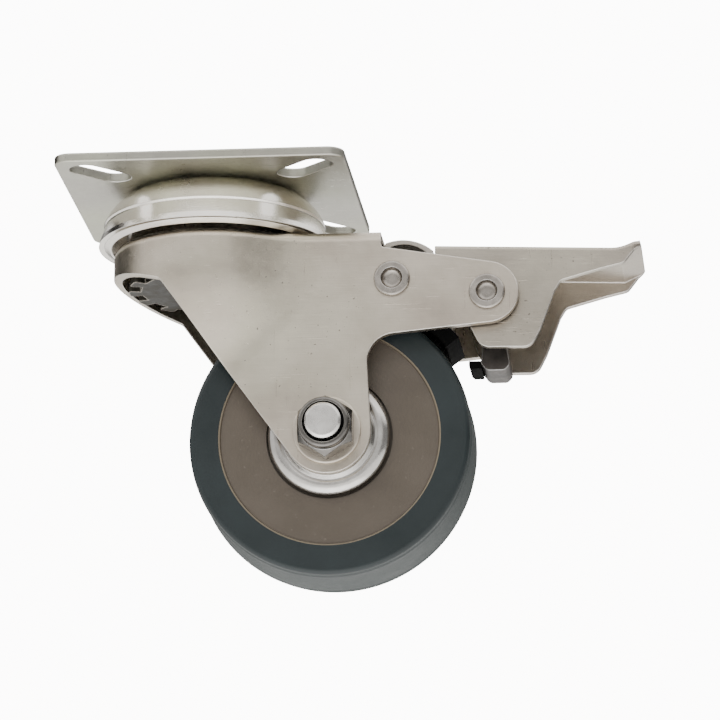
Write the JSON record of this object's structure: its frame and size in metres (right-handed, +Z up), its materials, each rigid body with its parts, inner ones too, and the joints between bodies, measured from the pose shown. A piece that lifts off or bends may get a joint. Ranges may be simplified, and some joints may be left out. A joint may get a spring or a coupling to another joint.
{
  "type": "swivel plate caster with total-lock foot brake",
  "caption": "Swivel plate caster for a gate: slotted square plate, ball-race head, pressed fork, rubber-tyred wheel and a foot pedal that locks wheel and swivel.",
  "frame": {"origin": "centre of the plate's top mounting face, on the swivel axis", "axes": "+X from the swivel axis towards the wheel and pedal, +Y to the far side of the wheel, +Z up out of the mounting face"},
  "size_m": [0.2037, 0.102, 0.145],
  "materials": {
    "plate_zinc": "satin zinc plate, faint green-yellow passivation",
    "head_zinc": "satin zinc plate on a pressed cup",
    "fork_zinc": "satin zinc plate with light handling marks",
    "pedal_zinc": "satin zinc plate, slightly duller",
    "bright_steel": "bright zinc plate",
    "bearing_steel": "ground bearing steel",
    "core_plastic": "moulded taupe-grey plastic, fine grain",
    "tyre_rubber": "dark blue-grey thermoplastic rubber, satin",
    "pad_rubber": "black moulded pad"
  },
  "bodies": {
    "plate": {"top_plate": "plate_zinc", "raceway_cup": "head_zinc", "race_seal": "head_zinc", "upper_race": "bearing_steel", "lower_race": "bearing_steel", "lower_balls": "bearing_steel", "ring_spacer": "bearing_steel", "lock_ring": "bright_steel", "kingpin": "bright_steel"},
    "fork": {"fork": "fork_zinc", "upper_balls": "bearing_steel", "pedal_rivet": "bright_steel", "lever_rivet": "bright_steel", "pivot_washers": "bright_steel", "lever_spacers": "bright_steel", "axle_bolt": "bright_steel", "axle_nut": "bright_steel", "nut_insert": "pad_rubber", "axle_washers": "bright_steel", "axle_sleeve": "bearing_steel", "side_spacers": "bearing_steel", "bearing_inner_rings": "bearing_steel", "dust_caps": "bright_steel"},
    "wheel": {"wheel_core": "core_plastic", "tyre": "tyre_rubber", "bearing_outer_rings": "bearing_steel", "bearing_balls": "bearing_steel"},
    "pedal": {"brake_pedal": "pedal_zinc", "pedal_cam": "pedal_zinc", "cam_pad": "pad_rubber"},
    "lever": {"lock_lever": "fork_zinc", "brake_shoe": "pad_rubber", "return_spring": "bearing_steel"}
  },
  "joints": [
    {"name": "swivel", "type": "hinge", "parent": "plate", "child": "fork", "pos_m": [0, 0, 0], "axis": [0, 0, 1], "continuous": true},
    {"name": "wheel_spin", "type": "hinge", "parent": "fork", "child": "wheel", "pos_m": [0.043, 0, -0.095], "axis": [0, 1, 0], "continuous": true},
    {"name": "pedal_hinge", "type": "hinge", "parent": "fork", "child": "pedal", "pos_m": [0.0989, 0, -0.0462], "axis": [0, 1, 0], "range_deg": [0, 10]},
    {"name": "lever_hinge", "type": "hinge", "parent": "fork", "child": "lever", "pos_m": [0.0656, 0, -0.0407], "axis": [0, 1, 0], "range_deg": [0, 2.5]}
  ],
  "couplings": [
    {"joint": "lever_hinge", "follows": "pedal_hinge", "ratio": 0.25}
  ]
}
